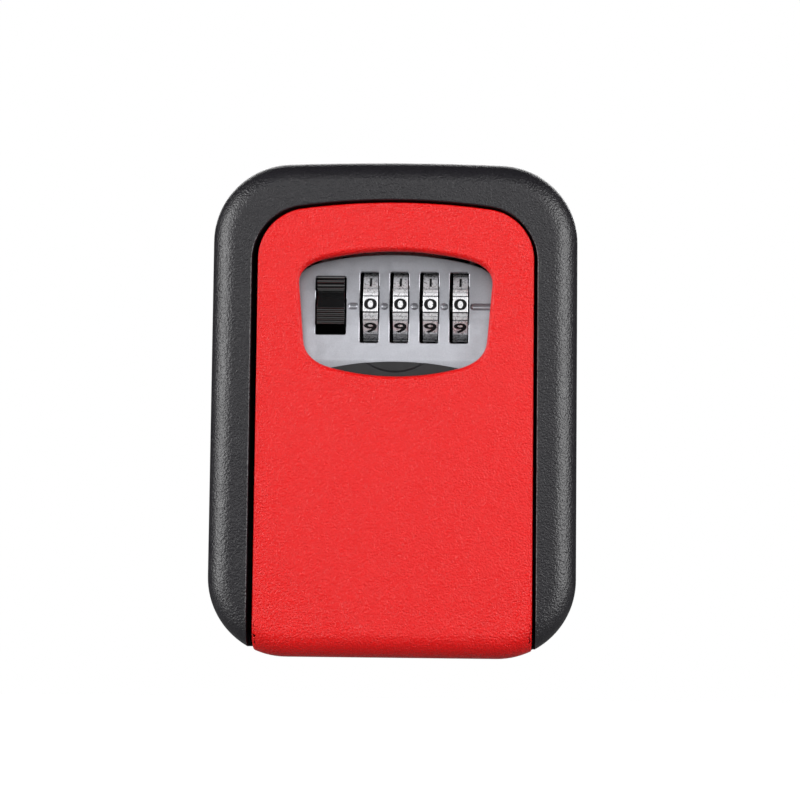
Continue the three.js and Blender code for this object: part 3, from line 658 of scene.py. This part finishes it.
def make_digit(i, digit):
    """A digit filled in black on its pad. Digit 0 faces the front and 1 is above it."""
    curve = bpy.data.curves.new("digit", "FONT")
    curve.body = str(digit)
    curve.align_x = "CENTER"
    curve.size = DIGIT["size"]
    curve.offset = DIGIT["bolder"]
    curve.extrude = DIGIT["thick"]
    curve.resolution_u = 6
    holder = bpy.data.objects.new("digit", curve)
    bpy.context.scene.collection.objects.link(holder)
    graph = bpy.context.evaluated_depsgraph_get()
    mesh = bpy.data.meshes.new_from_object(holder.evaluated_get(graph))
    bpy.data.objects.remove(holder)
    bpy.data.curves.remove(curve)
    digit_object = bpy.data.objects.new("digit", mesh)
    bpy.context.scene.collection.objects.link(digit_object)
    low = min(v.co.y for v in mesh.vertices)
    high = max(v.co.y for v in mesh.vertices)
    left = min(v.co.x for v in mesh.vertices)
    right = max(v.co.x for v in mesh.vertices)
    wide = 1.0 if digit == 1 else DIGIT["width"] / (right - left)
    fit = Matrix.Diagonal((wide, DIGIT["height"] / (high - low), 1, 1))
    centre = Matrix.Translation((-(left + right) / 2, -(low + high) / 2, 0))
    upright = Matrix.Rotation(math.pi / 2, 4, "X")
    onto_pad = Matrix.Translation((0, -PAD["depth"], 0)) @ upright
    turn = Matrix.Rotation(-2 * math.pi * digit / DIAL["digits"], 4, "X")
    to_axle = Matrix.Translation((wheel_x(i), DIAL["y"], DIAL["z"]))
    mesh.transform(to_axle @ turn @ onto_pad @ fit @ centre)
    finished(digit_object, f"digit_{i + 1}_{digit}", f"dial_{i + 1}", INK)


# ---- Open lever ----
def lever_front(z):
    """Depth of the lever's front surface at height z: two ridges, a finger ramp, fine ribs."""
    front = LEVER["front"]
    low, turn, high = RAMP["bottom"], RAMP["turn"], RIDGES["bottom"]
    if z > high:
        return front + RIDGES["height"] * (1 - math.cos((z - high) / RIDGES["pitch"] * 2 * math.pi))
    if z > turn:
        return front + RAMP["depth"] * math.sin((high - z) / (high - turn) * math.pi / 2)
    if z > low:
        return front + RAMP["depth"] * (z - low) / (turn - low)
    return front + RIBS["height"] * (1 - math.cos((z - low) / RIBS["pitch"] * 2 * math.pi))


def make_lever():
    steps = 150
    x0, x1 = LEVER["x"] - LEVER["width"] / 2, LEVER["x"] + LEVER["width"] / 2
    span = LEVER["top"] - LEVER["bottom"]
    front = [(lever_front(LEVER["bottom"] + span * k / steps), LEVER["bottom"] + span * k / steps)
             for k in range(steps + 1)]
    profile = front + [(LEVER["rear"], LEVER["top"]), (LEVER["rear"], LEVER["bottom"])]
    lever = loft("lever", [[(x, y, z) for y, z in profile] for x in (x0, x1)])
    soften(lever, 0.12, 2, 60)
    return finished(lever, "lever", "latch", GLOSS, ["open_lever"], 30)


# ---- Latch springs ----
def make_spring(side, node):
    radius, wire, turns = SPRING["radius"], SPRING["wire"], SPRING["turns"]
    low, high = SPRING["bottom"] + wire, SPRING["top"] - wire
    steps = turns * 32
    rings = []
    for k in range(steps + 1):
        angle = 2 * math.pi * turns * k / steps
        middle = Vector((side * SPRING["x"] + radius * math.cos(angle),
                         SPRING["y"] + radius * math.sin(angle), low + (high - low) * k / steps))
        out = Vector((math.cos(angle), math.sin(angle), 0))
        rings.append([middle + u * out + v * Vector((0, 0, 1)) for u, v in circle(wire, 10)])
    spring = loft("spring", rings)
    finished(spring, f"coil_{node}", "door", SPRING_STEEL, [node])
    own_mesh(spring)


# ---- CAD nodes that keep their own shape ----
def dress(name, material, edge=0.15):
    """Rounds a CAD node's edges and gives it its material."""
    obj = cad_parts[name]
    obj.data.materials.clear()
    obj.data.materials.append(material)
    flat = obj.modifiers.new("flat_faces", "DECIMATE")
    flat.decimate_type = "DISSOLVE"
    flat.angle_limit = math.radians(1)
    edges = obj.modifiers.new("edges", "BEVEL")
    edges.width = edge * MM
    edges.segments = 2
    edges.limit_method = "ANGLE"
    edges.angle_limit = math.radians(40)
    even = obj.modifiers.new("even_normals", "WEIGHTED_NORMAL")
    even.keep_sharp = True


# ---- Stage: white to the camera, dim to the rays that light the object ----
FLOOR_TO_OTHER_RAYS = 0.2
SKY_TO_OTHER_RAYS = 0.04


def make_stage():
    bm = bmesh.new()
    reach, level = 3.0, -0.14
    bm.faces.new([bm.verts.new((x, y, level)) for x, y in
                  ((-reach, -reach), (reach, -reach), (reach, reach), (-reach, reach))])
    floor = new_object("floor", bm)
    material, tree, shader = new_material("pale_floor", (0.86, 0.86, 0.86), 0.7)
    paths = add_node(tree, "ShaderNodeLightPath")
    shade = add_node(tree, "ShaderNodeMix", {"data_type": "RGBA"})
    shade.inputs["A"].default_value = (*[FLOOR_TO_OTHER_RAYS] * 3, 1)
    tree.links.new(tint(tree, noise(tree, 3, 2), (0.85, 0.85, 0.85), (0.88, 0.88, 0.88)), shade.inputs["B"])
    tree.links.new(paths.outputs["Is Camera Ray"], shade.inputs["Factor"])
    tree.links.new(shade.outputs["Result"], shader.inputs["Base Color"])
    shader.inputs["Emission Color"].default_value = (1, 1, 1, 1)
    tree.links.new(paths.outputs["Is Camera Ray"], shader.inputs["Emission Strength"])
    floor.data.materials.append(material)


def softbox(name, place, aim, width, height, watts):
    light = bpy.data.lights.new(name, "AREA")
    light.shape = "RECTANGLE"
    light.size, light.size_y = width, height
    light.energy = watts
    holder = bpy.data.objects.new(name, light)
    bpy.context.scene.collection.objects.link(holder)
    holder.location = place
    holder.rotation_euler = (Vector(aim) - Vector(place)).to_track_quat("-Z", "Y").to_euler()


def make_lights():
    world = bpy.data.worlds.new("studio")
    world.use_nodes = True
    bpy.context.scene.world = world
    tree = world.node_tree
    background = tree.nodes["Background"]
    background.inputs["Color"].default_value = (1, 1, 1, 1)
    paths = add_node(tree, "ShaderNodeLightPath")
    level = add_node(tree, "ShaderNodeMapRange", (), {"To Min": SKY_TO_OTHER_RAYS, "To Max": 1.0})
    tree.links.new(paths.outputs["Is Camera Ray"], level.inputs["Value"])
    tree.links.new(level.outputs["Result"], background.inputs["Strength"])
    target = (0, -0.03, 0)
    softbox("left_box", (-0.7, -0.36, 0.1), target, 0.55, 0.8, 10.5)
    softbox("right_box", (0.67, -0.44, 0.1), target, 0.55, 0.8, 10.5)
    softbox("front_box", (0, -0.86, 0.34), target, 0.9, 0.5, 2.4)
    softbox("rear_box", (0, 0.9, 0.5), target, 0.9, 0.5, 5)
    bpy.context.scene.view_settings.view_transform = "Standard"


make_camera()
make_case()
make_cover()
make_shutter()
make_face()
for number in range(4):
    make_wheel(number)
make_lever()
make_spring(-1, "latch_spring_left")
make_spring(1, "latch_spring_right")
dress("door_frame", BLACK, 0.2)
dress("lock_cover", BLACK)
dress("reset_slide", BLACK)
dress("latch_plate", ZINC)
dress("strike_plate", ZINC)
# The shaft and sleeves wear the darkened steel as painted shade.
dress("dial_shaft", SHADE_DARKENED_STEEL)
dress("hinge_pin", ZINC)
dress("detent_spring", SPRING_STEEL, 0.05)
for side_name in ("left", "right"):
    dress(f"strike_screw_{side_name}", ZINC, 0.08)
    dress(f"shaft_clip_{side_name}", ZINC, 0.08)
for number in range(1, 5):
    dress(f"dial_sleeve_{number}", SHADE_DARKENED_STEEL)
    dress(f"lock_cover_screw_{number}", ZINC, 0.1)
    dress(f"front_cover_screw_{number}", ZINC, 0.1)
make_stage()
make_lights()
